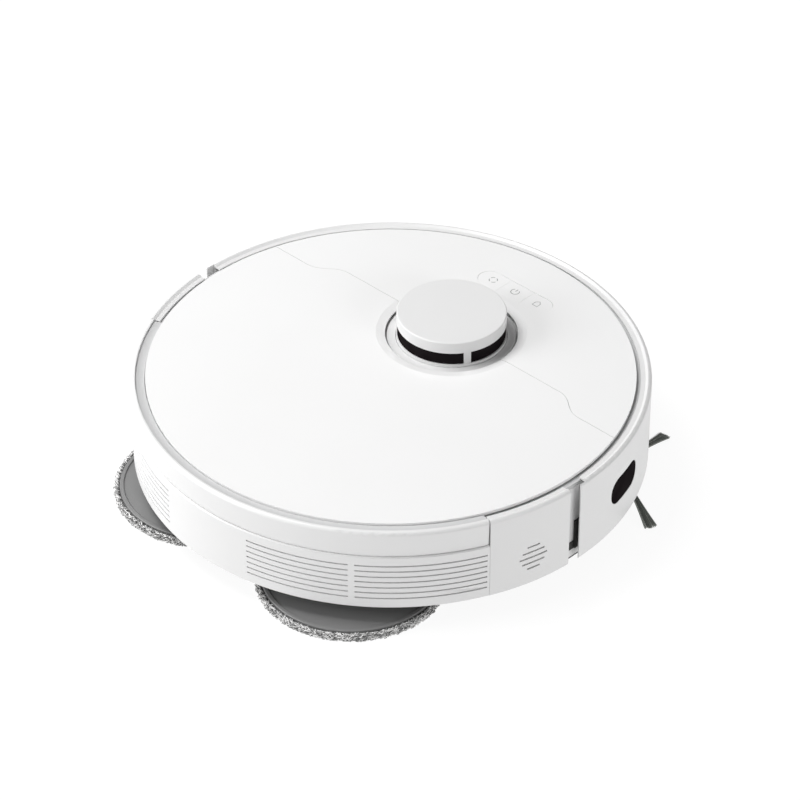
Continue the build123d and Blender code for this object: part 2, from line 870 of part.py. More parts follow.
with BuildPart() as fan_housing:
    post(fan_x, fan_y, fan_r, fan_low, fan_top)
    fillet(fan_housing.edges().group_by(Axis.Z)[-1], 4)
    post(fan_x, fan_y, fan_r - fan_wall, fan_low + 3, fan_top - fan_wall, Mode.SUBTRACT)
    post(fan_x, fan_y, 14, fan_top - fan_wall, fan_top, Mode.SUBTRACT)
    post(fan_x, fan_y, 3, fan_low + 3, 56)
save(fan_housing, "fan_housing")

blade_count = 11

with BuildPart() as fan_impeller:
    post(fan_x, fan_y, 24, 40, 42)
    post(fan_x, fan_y, 7, 42, 58)
    for blade in range(blade_count):
        turn = 360 / blade_count * blade
        with BuildSketch(Plane.XY.offset(41)):
            with Locations(Location((fan_x, fan_y, 0), (0, 0, turn))):
                with Locations(Location((15, 2.5, 0), (0, 0, 25))):
                    Rectangle(18, 1.2)
        extrude(amount=13)
    post(fan_x, fan_y, 3 + running_gap, 40, 57, Mode.SUBTRACT)
save(fan_impeller, "fan_impeller")

(bin_x0, bin_y0, bin_z0), (bin_x1, bin_y1, bin_z1) = bin_box

with BuildPart() as dust_bin:
    block(*bin_box)
    fillet(dust_bin.edges().filter_by(Axis.Z), 6)
    block(
        (bin_x0 + bin_wall, bin_y0 + bin_wall, bin_z0 + bin_wall),
        (bin_x1 - bin_wall, bin_y1 - bin_wall, bin_z1),
        Mode.SUBTRACT,
    )
    # Inlet from the brush tunnel, and the filter's opening towards the fan
    block((bin_x1 - bin_wall, -30, 34), (bin_x1, 30, 44), Mode.SUBTRACT)
    block((bin_x0, 22, 38), (bin_x0 + bin_wall, 78, 62), Mode.SUBTRACT)
save(dust_bin, "dust_bin")

with BuildPart() as bin_filter:
    block((bin_x0 + bin_wall, 20, 36), (bin_x0 + bin_wall + 9, 80, 64))
    # Pleats
    for pleat in range(14):
        y = 23 + 4 * pleat
        block((bin_x0 + 7, y, 38), (bin_x0 + bin_wall + 9, y + 2, 62), Mode.SUBTRACT)
save(bin_filter, "bin_filter")

cover_plate_top = 70.4
latch_x = bin_x1 - 12

with BuildPart() as dust_bin_cover:
    block((bin_x0, bin_y0, bin_z1), (bin_x1, bin_y1, cover_plate_top))
    fillet(dust_bin_cover.edges().filter_by(Axis.Z), 6)
    # Two rails that guide the latch
    for y in (-13.5, 13.5):
        block((latch_x - 8, y - 1.2, cover_plate_top), (latch_x + 8, y + 1.2, cover_plate_top + 2.2))
    # Folding carry handle's recess at the other edge
    block((bin_x0 + 6, -30, cover_plate_top - 1), (bin_x0 + 22, 30, cover_plate_top), Mode.SUBTRACT)
save(dust_bin_cover, "dust_bin_cover")

with BuildPart() as bin_latch:
    block(
        (latch_x - 6, -12, cover_plate_top + 0.1),
        (latch_x + 9, 12, cover_plate_top + 1.8),
    )
    for step in range(3):
        x = latch_x - 4 + 3 * step
        block((x - 0.6, -9, cover_plate_top + 1.8), (x + 0.6, 9, cover_plate_top + 2.6))
save(bin_latch, "bin_latch")

# ---- Mopping gear --------------------------------------------------------------------------------

with BuildPart() as water_tank:
    block(*tank_box)
    post(0, 0, tank_r, tank_box[0][2], tank_box[1][2], Mode.INTERSECT)
    fillet(water_tank.edges().filter_by(Axis.Z).sort_by(Axis.X)[-2:], 5)
    # Open filling well in the top
    block((-140, -60, tank_box[0][2] + 2), (-96, 4, tank_box[1][2]), Mode.SUBTRACT)
save(water_tank, "water_tank")

with BuildPart() as water_pump:
    post(-104, 96, 9, 31, 52)
    block((-112, 88, 24), (-96, 104, 31))
    for y in (92, 100):
        post(-104, y, 2, 52, 58)
save(water_pump, "water_pump")

with BuildPart() as mop_gearbox:
    block(*gearbox_box)
    fillet(mop_gearbox.edges().filter_by(Axis.Z), 8)
    for y in (mop_y, -mop_y):
        post(mop_x, y, mop_shaft_r + running_gap, gearbox_box[0][2], 29.5, Mode.SUBTRACT)
save(mop_gearbox, "mop_gearbox")

with BuildPart() as mop_shaft_left:
    post(mop_x, mop_y, mop_shaft_r, mop_plate_top, 29)
    chamfer(mop_shaft_left.edges().group_by(Axis.Z)[-1], 0.8)
save_pair(mop_shaft_left, "mop_shaft")

with BuildPart() as mop_plate_left:
    turned(
        [
            (0, mop_pad_top),
            (mop_plate_r, mop_pad_top),
            (mop_plate_r, mop_lip_top - 0.4),
            (mop_plate_r - 0.4, mop_lip_top),
            (mop_plate_r - 2.4, mop_lip_top),
            (mop_plate_r - 3.2, mop_plate_top),
            (9.5, mop_plate_top),
            (9.5, 11.5),
            (mop_shaft_r, 11.5),
            (mop_shaft_r, mop_plate_top),
            (0, mop_plate_top),
        ],
        x=mop_x,
        y=mop_y,
    )
save_pair(mop_plate_left, "mop_plate")

with BuildPart() as mop_pad_left:
    turned(
        [
            (0, 0),
            (mop_pad_r - 1.5, 0),
            (mop_pad_r, 1.2),
            (mop_pad_r, 3.0),
            (mop_pad_r - 1.5, mop_pad_top),
            (0, mop_pad_top),
        ],
        x=mop_x,
        y=mop_y,
    )
save_pair(mop_pad_left, "mop_pad")

# ---- Drive wheels --------------------------------------------------------------------------------

with BuildPart() as wheel_arm_left:
    with BuildSketch(Plane.XZ.offset(-arm_in_y)):
        with Locations((pivot_x, pivot_z)):
            Circle(7.5)
        with Locations((0, wheel_r)):
            Circle(17)
        make_hull()
    extrude(amount=arm_in_y - arm_out_y)
    chamfer(wheel_arm_left.edges().group_by(Axis.Y)[-1], 1)
    rod(0, wheel_r, axle_r, arm_out_y, wheel_out_y - 4)
    rod(pivot_x, pivot_z, pivot_r, well_low[1] - 7, arm_in_y)
save_pair(wheel_arm_left, "wheel_arm")

wheel_middle_y = (wheel_in_y + wheel_out_y) / 2
spoke_count = 6

with BuildPart() as wheel_rim_left:
    rod(0, wheel_r, tyre_in_r, wheel_in_y + 1, wheel_out_y - 1)
    # Dished outer face with spokes
    rod(0, wheel_r, tyre_in_r - 4, wheel_out_y - 6, wheel_out_y - 1, Mode.SUBTRACT)
    rod(0, wheel_r, 9, wheel_out_y - 6, wheel_out_y - 1)
    for spoke in range(spoke_count):
        with BuildSketch(Plane.XZ.offset(-(wheel_out_y - 2))):
            with Locations(Location((0, wheel_r, 0), (0, 0, 360 / spoke_count * spoke))):
                with Locations((17, 0)):
                    Rectangle(18, 4)
        extrude(amount=4)
    rod(0, wheel_r, axle_r + running_gap, wheel_in_y, wheel_out_y - 3, Mode.SUBTRACT)
save_pair(wheel_rim_left, "wheel_rim")

with BuildPart() as wheel_tyre_left:
    rod(0, wheel_r, wheel_r, wheel_in_y, wheel_out_y)
    rod(0, wheel_r, tyre_in_r, wheel_in_y, wheel_out_y, Mode.SUBTRACT)
    # Tread grooves across the tyre
    for tread in range(tread_count):
        with BuildSketch(Plane.XZ.offset(-wheel_in_y)):
            turn = 360 / tread_count * (tread + 0.5)
            with Locations(Location((0, wheel_r, 0), (0, 0, turn))):
                with Locations((wheel_r, 0)):
                    Rectangle(3, 2.4)
        extrude(amount=wheel_in_y - wheel_out_y, mode=Mode.SUBTRACT)
save_pair(wheel_tyre_left, "wheel_tyre")

# ---- Caster --------------------------------------------------------------------------------------

with BuildPart() as caster_yoke:
    post(caster_x, 0, 22, 33, 36.5)
    post(caster_x, 0, caster_pin_r, 36.5, 46)
    wheel_x = caster_x - caster_offset
    for side in (1, -1):
        low_y, high_y = sorted((side * (caster_half_width + 0.6), side * (caster_half_width + 3)))
        block((wheel_x - 6, low_y, 10), (wheel_x + 12, high_y, 33))
    rod(wheel_x, caster_wheel_r, 2, -caster_half_width - 0.6, caster_half_width + 0.6)
save(caster_yoke, "caster_yoke")

with BuildPart() as caster_wheel:
    rod(wheel_x, caster_wheel_r, caster_wheel_r, -caster_half_width, caster_half_width)
    fillet(caster_wheel.edges().filter_by(GeomType.CIRCLE), 2)
    rod(
        wheel_x,
        caster_wheel_r,
        2 + running_gap,
        -caster_half_width,
        caster_half_width,
        Mode.SUBTRACT,
    )
save(caster_wheel, "caster_wheel")

# ---- Brushes -------------------------------------------------------------------------------------

with BuildPart() as main_brush_core:
    rod(brush_x, brush_z, brush_core_r, -brush_half_length, brush_half_length)
    rod(brush_x, brush_z, brush_stub_r, -brush_half_length - 3, brush_half_length + 8)
save(main_brush_core, "main_brush_core")


def brush_fin(turn, side):
    """Returns one twisted half fin, from the middle of the brush to one end."""
    with BuildPart() as fin:
        for step in range(fin_steps + 1):
            y = side * brush_half_length * step / fin_steps
            with BuildSketch(Plane.XZ.offset(-y)):
                angle = turn + fin_twist * step / fin_steps
                with Locations(Location((brush_x, brush_z, 0), (0, 0, angle))):
                    with Locations(((brush_core_r + 0.7 + brush_fin_r) / 2, 0)):
                        Rectangle(brush_fin_r - brush_core_r - 0.7, fin_thick)
        loft()
    return fin.part


with BuildPart() as main_brush_fins:
    rod(brush_x, brush_z, brush_sleeve_r, -brush_half_length, brush_half_length)
    rod(brush_x, brush_z, brush_core_r, -brush_half_length, brush_half_length, Mode.SUBTRACT)
    for fin in range(fin_count):
        for side in (1, -1):
            add(brush_fin(360 / fin_count * fin, side))
save(main_brush_fins, "main_brush_fins")

with BuildPart() as brush_guard:
    with BuildSketch(Plane.XY.offset(base_low - 2)):
        with Locations((brush_x, 0)):
            RectangleRounded(62, 184, 6)
            RectangleRounded(42, 168, 3, mode=Mode.SUBTRACT)
    extrude(amount=2)
    chamfer(brush_guard.edges().group_by(Axis.Z)[0], 0.6)
save(brush_guard, "brush_guard")

with BuildPart() as brush_motor:
    block((-8, 86.6, 17), (86, 92.4, 44))
    fillet(brush_motor.edges().filter_by(Axis.Y), 5)
    rod(74, 28.5, 10.5, 74.5, 86.6)
    rod(brush_x, brush_z, brush_stub_r + running_gap, 86.6, 91, Mode.SUBTRACT)
save(brush_motor, "brush_motor")

with BuildPart() as side_brush_hub:
    post(side_brush_x, side_brush_y, side_hub_r, 7, 12)
    chamfer(side_brush_hub.edges().group_by(Axis.Z)[0], 1.5)
    post(side_brush_x, side_brush_y, side_shaft_r, 12, 30)
    # Short sleeves that hold the tufts
    for angle in tuft_angles:
        with BuildSketch(Plane.XY.offset(7.5)):
            with Locations(Location((side_brush_x, side_brush_y, 0), (0, 0, angle))):
                with Locations((14, 0)):
                    Rectangle(12, 7)
        extrude(amount=4)
save(side_brush_hub, "side_brush_hub")


def tuft(angle):
    """Returns one flat, widening bundle of bristles that dips to the floor."""
    stations = (
        (20.2, tuft_root_z + 1, 3.0, 2.2),
        (42.0, tuft_root_z - 2.8, 4.8, 1.8),
        (tuft_reach, tuft_tip_z, 9.4, 1.6),
    )
    with BuildPart() as bundle:
        for reach, z, width, thick in stations:
            direction = (cos(radians(angle)), sin(radians(angle)), 0)
            origin = (
                side_brush_x + reach * direction[0],
                side_brush_y + reach * direction[1],
                z,
            )
            across = (-direction[1], direction[0], 0)
            with BuildSketch(Plane(origin=origin, x_dir=across, z_dir=direction)):
                Rectangle(width, thick)
        loft()
    return bundle.part


with BuildPart() as side_brush_bristles:
    for angle in tuft_angles:
        add(tuft(angle))
save(side_brush_bristles, "side_brush_bristles")

with BuildPart() as side_brush_motor:
    post(side_brush_x, side_brush_y, 11, 18.5, 44)
    post(side_brush_x, side_brush_y, side_shaft_r + running_gap, 18.5, 31, Mode.SUBTRACT)
save(side_brush_motor, "side_brush_motor")
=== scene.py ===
"""Looks of the robot vacuum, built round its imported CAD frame.

Lengths are in metres in the CAD frame: +X forwards, +Y to the machine's left, +Z up, floor at z = 0.
"""

import json
import math
import random

import bpy
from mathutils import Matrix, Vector


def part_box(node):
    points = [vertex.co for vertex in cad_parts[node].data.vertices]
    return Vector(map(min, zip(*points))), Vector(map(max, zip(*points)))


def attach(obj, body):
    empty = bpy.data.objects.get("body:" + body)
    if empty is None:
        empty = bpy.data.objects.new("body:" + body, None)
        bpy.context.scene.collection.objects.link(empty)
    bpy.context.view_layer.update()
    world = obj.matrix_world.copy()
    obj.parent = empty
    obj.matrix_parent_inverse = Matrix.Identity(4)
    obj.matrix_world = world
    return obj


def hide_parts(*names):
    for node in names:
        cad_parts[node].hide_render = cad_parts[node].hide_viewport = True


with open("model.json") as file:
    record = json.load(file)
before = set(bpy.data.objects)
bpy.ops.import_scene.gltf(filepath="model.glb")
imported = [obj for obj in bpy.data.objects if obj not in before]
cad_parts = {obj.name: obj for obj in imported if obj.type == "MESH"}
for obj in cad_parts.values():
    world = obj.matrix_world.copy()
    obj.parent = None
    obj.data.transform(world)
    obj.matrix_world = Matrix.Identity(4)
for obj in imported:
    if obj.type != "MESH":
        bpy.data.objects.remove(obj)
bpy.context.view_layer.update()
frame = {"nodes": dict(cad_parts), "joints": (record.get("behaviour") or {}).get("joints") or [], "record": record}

MM = 0.001
random_source = random.Random(7)


# ---- Material tools ------------------------------------------------------------------------------


class Finish:
    """A material under construction: its node tree, its shader and short ways to add nodes."""

    def __init__(self, name, **settings):
        self.material = bpy.data.materials.new(name)
        self.material.use_nodes = True
        self.tree = self.material.node_tree
        self.shader = self.tree.nodes["Principled BSDF"]
        self.coordinates = self.tree.nodes.new("ShaderNodeTexCoord").outputs["Object"]
        for socket, value in settings.items():
            self.shader.inputs[socket.replace("_", " ")].default_value = value

    def link(self, source, target):
        self.tree.links.new(source, target)

    def stretched(self, scale):
        """Coordinates stretched by a different factor along each axis."""
        mapping = self.tree.nodes.new("ShaderNodeMapping")
        mapping.inputs["Scale"].default_value = scale
        self.link(self.coordinates, mapping.inputs["Vector"])
        return mapping.outputs["Vector"]

    def noise(self, scale, detail=2.0, roughness=0.5, vector=None):
        """Soft noise; scale is in features per metre."""
        node = self.tree.nodes.new("ShaderNodeTexNoise")
        node.inputs["Scale"].default_value = scale
        node.inputs["Detail"].default_value = detail
        node.inputs["Roughness"].default_value = roughness
        self.link(vector or self.coordinates, node.inputs["Vector"])
        return node.outputs["Fac"]

    def cells(self, scale, feature="F1", vector=None):
        """Distance to the nearest of a scatter of points."""
        node = self.tree.nodes.new("ShaderNodeTexVoronoi")
        node.feature = feature
        node.inputs["Scale"].default_value = scale
        self.link(vector or self.coordinates, node.inputs["Vector"])
        return node.outputs["Distance"]

    def attribute(self, name):
        """A number stored on the mesh."""
        node = self.tree.nodes.new("ShaderNodeAttribute")
        node.attribute_name = name
        return node.outputs["Fac"]

    def ranged(self, value, low, high, start=0.25, end=0.75):
        """Spreads a value from start..end over low..high."""
        node = self.tree.nodes.new("ShaderNodeMapRange")
        node.inputs["From Min"].default_value = start
        node.inputs["From Max"].default_value = end
        node.inputs["To Min"].default_value = low
        node.inputs["To Max"].default_value = high
        self.link(value, node.inputs["Value"])
        return node.outputs["Result"]

    def blend(self, factor, first, second):
        """A colour that runs from first to second as factor goes from 0 to 1."""
        node = self.tree.nodes.new("ShaderNodeMix")
        node.data_type = "RGBA"
        self.link(factor, node.inputs["Factor"])
        for socket, colour in ((node.inputs[6], first), (node.inputs[7], second)):
            if hasattr(colour, "links"):
                self.link(colour, socket)
            else:
                socket.default_value = (*colour, 1)
        return node.outputs[2]

    def colour(self, source):
        self.link(source, self.shader.inputs["Base Color"])

    def roughness(self, source):
        self.link(source, self.shader.inputs["Roughness"])

    def bump(self, height, depth, strength=1.0):
        """Raises the surface by height times depth, in metres."""
        node = self.tree.nodes.new("ShaderNodeBump")
        node.inputs["Strength"].default_value = strength
        node.inputs["Distance"].default_value = depth
        self.link(height, node.inputs["Height"])
        self.link(node.outputs["Normal"], self.shader.inputs["Normal"])


def grey(level, warmth=0.0):
    """A neutral colour with a trace of warmth."""
    return (level * (1 + warmth), level, level * (1 - warmth))


def moulded(name, dark, light, rough, grain_depth=0.02 * MM, grain_scale=2600, **settings):
    """Injection-moulded plastic: cloudy colour, uneven gloss and a fine eroded grain."""
    finish = Finish(name, **settings)
    cloud = finish.noise(9, detail=3)
    finish.colour(finish.blend(finish.ranged(cloud, 0, 1), dark, light))
    wear = finish.noise(70, detail=4, roughness=0.6)
    finish.roughness(finish.ranged(wear, rough[0], rough[1], 0.3, 0.7))
    finish.bump(finish.noise(grain_scale, detail=1), grain_depth)
    return finish.material


# ---- Finishes, one for each material slot of the record --------------------------------------------


def gloss_white():
    finish = Finish("gloss_white", Coat_Weight=0.35, Coat_Roughness=0.05)
    cloud = finish.noise(6, detail=3)
    finish.colour(finish.blend(finish.ranged(cloud, 0, 1), grey(0.90, 0.002), grey(0.93)))
    smear = finish.noise(40, detail=5, roughness=0.65)
    finish.roughness(finish.ranged(smear, 0.16, 0.27, 0.3, 0.7))
    finish.bump(finish.noise(320, detail=2), 0.006 * MM)
    return finish.material


def satin_white():
    return moulded("satin_white", grey(0.77, 0.002), grey(0.80), (0.34, 0.44), 0.008 * MM)


def trim_grey():
    return moulded("trim_grey", grey(0.60, -0.003), grey(0.65, -0.003), (0.28, 0.38), 0.008 * MM)


def frame_grey():
    return moulded("frame_grey", grey(0.68), grey(0.74), (0.45, 0.58))


def dark_plastic():
    return moulded("dark_plastic", grey(0.030), grey(0.042), (0.45, 0.62), 0.03 * MM, 2200)


def window_black():
    finish = Finish("window_black", Specular_IOR_Level=0.0)
    depth = finish.noise(60, detail=2)
    finish.colour(finish.blend(finish.ranged(depth, 0, 1), (0.009, 0.007, 0.008), (0.019, 0.016, 0.017)))
    finish.roughness(finish.ranged(finish.noise(120, detail=4), 0.16, 0.24, 0.3, 0.7))
    return finish.material


def plate_grey():
    return moulded("plate_grey", grey(0.22), grey(0.26), (0.36, 0.50), 0.02 * MM, 2400)


def mop_cloth():
    """Yarn: two shades by strand, painted shade darkening it towards its roots, with a fine twist along each
    strand.
    """
    finish = Finish("mop_cloth", Sheen_Weight=0.25, Sheen_Roughness=0.5)
    strand = finish.attribute("strand")
    root = finish.attribute("root")
    yarn = finish.blend(finish.ranged(strand, 0, 1, 0.35, 0.6), grey(0.32), grey(0.94, 0.005))
    # Painted shade: the yarn turns dark grey where the loops crowd into their roots and over the core.
    finish.colour(finish.blend(root, yarn, grey(0.10)))
    finish.roughness(finish.ranged(finish.noise(900, detail=2), 0.78, 0.95))
    finish.bump(finish.noise(5200, detail=2, vector=finish.stretched((1, 1, 2.2))), 0.12 * MM)
    return finish.material


def bristle():
    """Nylon filaments, most of them dark, a few with painted highlights."""
    finish = Finish("bristle", Coat_Weight=0.2, Coat_Roughness=0.2)
    strand = finish.attribute("strand")
    dark = finish.blend(finish.ranged(strand, 0, 1, 0.0, 0.8), (0.12, 0.128, 0.116), (0.27, 0.285, 0.262))
    # Painted highlight: the filaments with the highest strand values are painted pale as glints.
    finish.colour(finish.blend(finish.ranged(strand, 0, 1, 0.80, 0.90), dark, (0.62, 0.65, 0.60)))
    finish.roughness(finish.ranged(finish.noise(800), 0.32, 0.5))
    return finish.material


def rubber_black():
    return moulded("rubber_black", grey(0.016), grey(0.028), (0.6, 0.78), 0.04 * MM, 1800)


def tyre_rubber():
    finish = Finish("tyre_rubber")
    dust = finish.noise(120, detail=5, roughness=0.65)
    finish.colour(finish.blend(finish.ranged(dust, 0, 1, 0.45, 0.8), grey(0.020), grey(0.060, 0.03)))
    finish.roughness(finish.ranged(dust, 0.62, 0.85))
    finish.bump(finish.noise(1500, detail=3), 0.06 * MM)
    return finish.material


def steel():
    finish = Finish("steel", Metallic=1.0)
    lines = finish.noise(500, detail=3, vector=finish.stretched((1, 12, 1)))
    finish.colour(finish.blend(finish.ranged(lines, 0, 1), grey(0.52), grey(0.68, 0.01)))
    finish.roughness(finish.ranged(lines, 0.24, 0.42))
    finish.bump(lines, 0.01 * MM)
    return finish.material


def contact_metal():
    finish = Finish("contact_metal", Metallic=1.0)
    rub = finish.noise(700, detail=4, vector=finish.stretched((8, 1, 1)))
    finish.colour(finish.blend(finish.ranged(rub, 0, 1), (0.66, 0.62, 0.53), (0.82, 0.79, 0.72)))
    finish.roughness(finish.ranged(rub, 0.16, 0.34))
    return finish.material


def board_green():
    finish = Finish("board_green", Coat_Weight=0.3, Coat_Roughness=0.2)
    tracks = finish.cells(260, feature="DISTANCE_TO_EDGE")
    spread = finish.ranged(tracks, 0, 1, 0.02, 0.06)
    finish.colour(finish.blend(spread, (0.16, 0.24, 0.08), (0.012, 0.10, 0.045)))
    finish.roughness(finish.ranged(finish.noise(400), 0.3, 0.5))
    finish.bump(tracks, 0.05 * MM)
    return finish.material


def battery_blue():
    return moulded("battery_blue", (0.030, 0.045, 0.09), (0.045, 0.062, 0.12), (0.25, 0.4))


def tank_smoke():
    finish = Finish("tank_smoke", Coat_Weight=0.3, Coat_Roughness=0.08)
    cloud = finish.noise(14, detail=3)
    finish.colour(finish.blend(finish.ranged(cloud, 0, 1), (0.075, 0.080, 0.088), (0.105, 0.112, 0.122)))
    finish.roughness(finish.ranged(finish.noise(80, detail=4), 0.14, 0.26, 0.3, 0.7))
    return finish.material


def filter_paper():
    finish = Finish("filter_paper")
    fibre = finish.noise(1400, detail=4, vector=finish.stretched((1, 1, 5)))
    finish.colour(finish.blend(finish.ranged(fibre, 0, 1), (0.62, 0.61, 0.55), (0.80, 0.79, 0.74)))
    finish.roughness(finish.ranged(fibre, 0.8, 0.95))
    finish.bump(fibre, 0.08 * MM)
    return finish.material


finish_makers = (
    gloss_white,
    satin_white,
    trim_grey,
    frame_grey,
    dark_plastic,
    window_black,
    plate_grey,
    mop_cloth,
    bristle,
    rubber_black,
    tyre_rubber,
    steel,
    contact_metal,
    board_green,
    battery_blue,
    tank_smoke,
    filter_paper,
)
finishes = {maker.__name__: maker() for maker in finish_makers}

for subpart in frame["record"]["subparts"]:
    node = frame["nodes"][subpart["node"]]
    node.data.materials.clear()
    node.data.materials.append(finishes[subpart["material_slot"]])


# ---- Mesh tools ----------------------------------------------------------------------------------


def new_piece(name, vertices, faces, material, body, numbers=None, smooth=True):
    """Makes a mesh object from its parts and lets it ride on a body. numbers are values per vertex."""
    mesh = bpy.data.meshes.new(name)
    mesh.from_pydata(vertices, [], faces)
    mesh.update()
    mesh.polygons.foreach_set("use_smooth", [smooth] * len(mesh.polygons))
    for key, values in (numbers or {}).items():
        mesh.attributes.new(key, "FLOAT", "POINT").data.foreach_set("value", values)
    piece = bpy.data.objects.new(name, mesh)
    bpy.context.scene.collection.objects.link(piece)
    mesh.materials.append(finishes[material])
    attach(piece, body)
    return piece


def tube_rings(points, radii, sides, spin=0.0):
    """Vertices of a tube that follows points, as one ring of sides for each point."""
    rings = []
    side = None
    for index, point in enumerate(points):
        ahead = points[min(index + 1, len(points) - 1)] - points[max(index - 1, 0)]
        ahead.normalize()
        if side is None:
            side = ahead.orthogonal().normalized()
        side = (side - ahead * side.dot(ahead)).normalized()
        other = ahead.cross(side)
        for step in range(sides):
            angle = 2 * math.pi * step / sides + spin
            rings.append(point + radii[index] * (side * math.cos(angle) + other * math.sin(angle)))
    return rings


class Strands:
    """Many tubes gathered into one mesh, each vertex with its strand's shade and its nearness to the root, which
    the yarn darkens with painted shade.
    """

    def __init__(self):
        self.vertices = []
        self.faces = []
        self.strand = []
        self.root = []

    def add(self, points, radii, sides, shade, painted_root_shade):
        start = len(self.vertices)
        self.vertices += tube_rings(points, radii, sides)
        for index in range(len(points) - 1):
            for step in range(sides):
                near = start + index * sides + step
                beside = start + index * sides + (step + 1) % sides
                self.faces.append((near, beside, beside + sides, near + sides))
        self.faces.append(tuple(start + sides - 1 - step for step in range(sides)))
        last = start + (len(points) - 1) * sides
        self.faces.append(tuple(last + step for step in range(sides)))
        self.strand += [shade] * (len(points) * sides)
        for root in painted_root_shade:
            self.root += [root] * sides


# ---- Mop pads ------------------------------------------------------------------------------------


def mop_pad(side):
    """A felt core with a shag of looped yarn round its edge and over its underside."""
    node = f"mop_pad_{side}"
    low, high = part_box(node)
    centre = (low + high) / 2
    radius = (high.x - low.x) / 2
    thick = high.z - low.z
    pile = Strands()

    # Core: a disc with a rounded edge, a little inside the pad's own outline
    core_r = radius - 2.6 * MM
    profile = (
        (0.0, 1.2),
        (core_r * 0.9 / MM, 1.2),
        (core_r / MM - 0.5, 1.6),
        (core_r / MM, 2.4),
        (core_r / MM - 0.4, thick / MM - 0.3),
        (core_r / MM - 1.4, thick / MM - 0.02),
        (0.0, thick / MM - 0.02),
    )
    turns = 128
    for ring_radius, height in profile[1:-1]:
        for turn in range(turns):
            angle = 2 * math.pi * turn / turns
            pile.vertices.append(
                Vector(
                    (
                        centre.x + ring_radius * MM * math.cos(angle),
                        centre.y + ring_radius * MM * math.sin(angle),
                        low.z + height * MM,
                    )
                )
            )
    for ring in range(len(profile) - 3):
        for turn in range(turns):
            near = ring * turns + turn
            beside = ring * turns + (turn + 1) % turns
            pile.faces.append((near, beside, beside + turns, near + turns))
    pile.faces.append(tuple(reversed(range(turns))))
    last = (len(profile) - 3) * turns
    pile.faces.append(tuple(range(last, last + turns)))
    pile.strand += [0.2] * len(pile.vertices)
    # Painted shade on the core, which lies in the shadow of the loops.
    pile.root += [0.7] * len(pile.vertices)

    def loop(root, outwards, along, size, yarn):
        """One loop of yarn that leaves its root outwards and comes back beside it."""
        steps = 6
        lean = random_source.uniform(-0.5, 0.5)
        points = []
        for step in range(steps):
            angle = math.pi * (1.25 * step / (steps - 1) - 0.125)
            across = math.cos(angle) * size * 0.55
            out = math.sin(angle) * size
            wobble = Vector(random_source.uniform(-0.12, 0.12) * size for _ in range(3))
            points.append(root + along * across + outwards * out + along * lean * out + wobble)
        for point in points:
            inside = Vector((point.x - centre.x, point.y - centre.y, 0))
            limit = radius + 0.8 * MM - yarn
            if inside.length > limit:
                inside *= limit / inside.length
                point.x, point.y = centre.x + inside.x, centre.y + inside.y
            point.z = min(max(point.z, low.z + yarn), high.z + 1.5 * MM)
        shade = random_source.random()
        # Painted shade at both ends of each loop, where it dives into the core.
        painted_root_shade = [max(0.0, 0.85 - 1.9 * math.sin(math.pi * step / (steps - 1))) for step in range(steps)]
        pile.add(points, [yarn] * steps, 4, shade, painted_root_shade)

    # Edge: rows of loops, tilted from downwards to upwards
    edge_rows = 6
    loops_a_row = 360
    for row in range(edge_rows):
        tilt = math.radians(-50 + 23 * row)
        for index in range(loops_a_row):
            angle = 2 * math.pi * (index + 0.5 * row + random_source.uniform(-0.4, 0.4)) / loops_a_row
            radial = Vector((math.cos(angle), math.sin(angle), 0))
            tangent = Vector((-radial.y, radial.x, 0))
            height = low.z + (0.7 + 0.66 * row) * MM
            root = Vector((centre.x, centre.y, height)) + radial * (core_r - 0.6 * MM)
            outwards = radial * math.cos(tilt) + Vector((0, 0, math.sin(tilt)))
            twist = random_source.uniform(-0.9, 0.9)
            along = (tangent * math.cos(twist) + outwards.cross(tangent) * math.sin(twist)).normalized()
            size = random_source.uniform(1.8, 3.2) * MM
            loop(root, outwards, along, size, random_source.uniform(0.23, 0.35) * MM)

    # Underside: rings of loops that hang to the floor
    ring_radius = 4 * MM
    ring_pitch = 3.1 * MM
    loop_pitch = 3.0 * MM
    while ring_radius < core_r - 2 * MM:
        count = int(2 * math.pi * ring_radius / loop_pitch)
        for index in range(count):
            angle = 2 * math.pi * (index + random_source.uniform(-0.4, 0.4)) / count
            radial = Vector((math.cos(angle), math.sin(angle), 0))
            root = Vector((centre.x, centre.y, low.z + 1.3 * MM)) + radial * ring_radius
            turn = random_source.uniform(0, math.pi)
            along = Vector((math.cos(turn), math.sin(turn), 0))
            outwards = Vector((0.5 * radial.x, 0.5 * radial.y, -1)).normalized()
            loop(root, outwards, along, random_source.uniform(2.2, 3.2) * MM, 0.42 * MM)
        ring_radius += ring_pitch

    piece = new_piece(
        f"mop_yarn_{side}",
        pile.vertices,
        pile.faces,
        "mop_cloth",
        f"mop_{side}",
        {"strand": pile.strand, "root": pile.root},
    )
    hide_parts(node)
    return piece


for side in ("left", "right"):
    mop_pad(side)


# ---- Side brush ----------------------------------------------------------------------------------


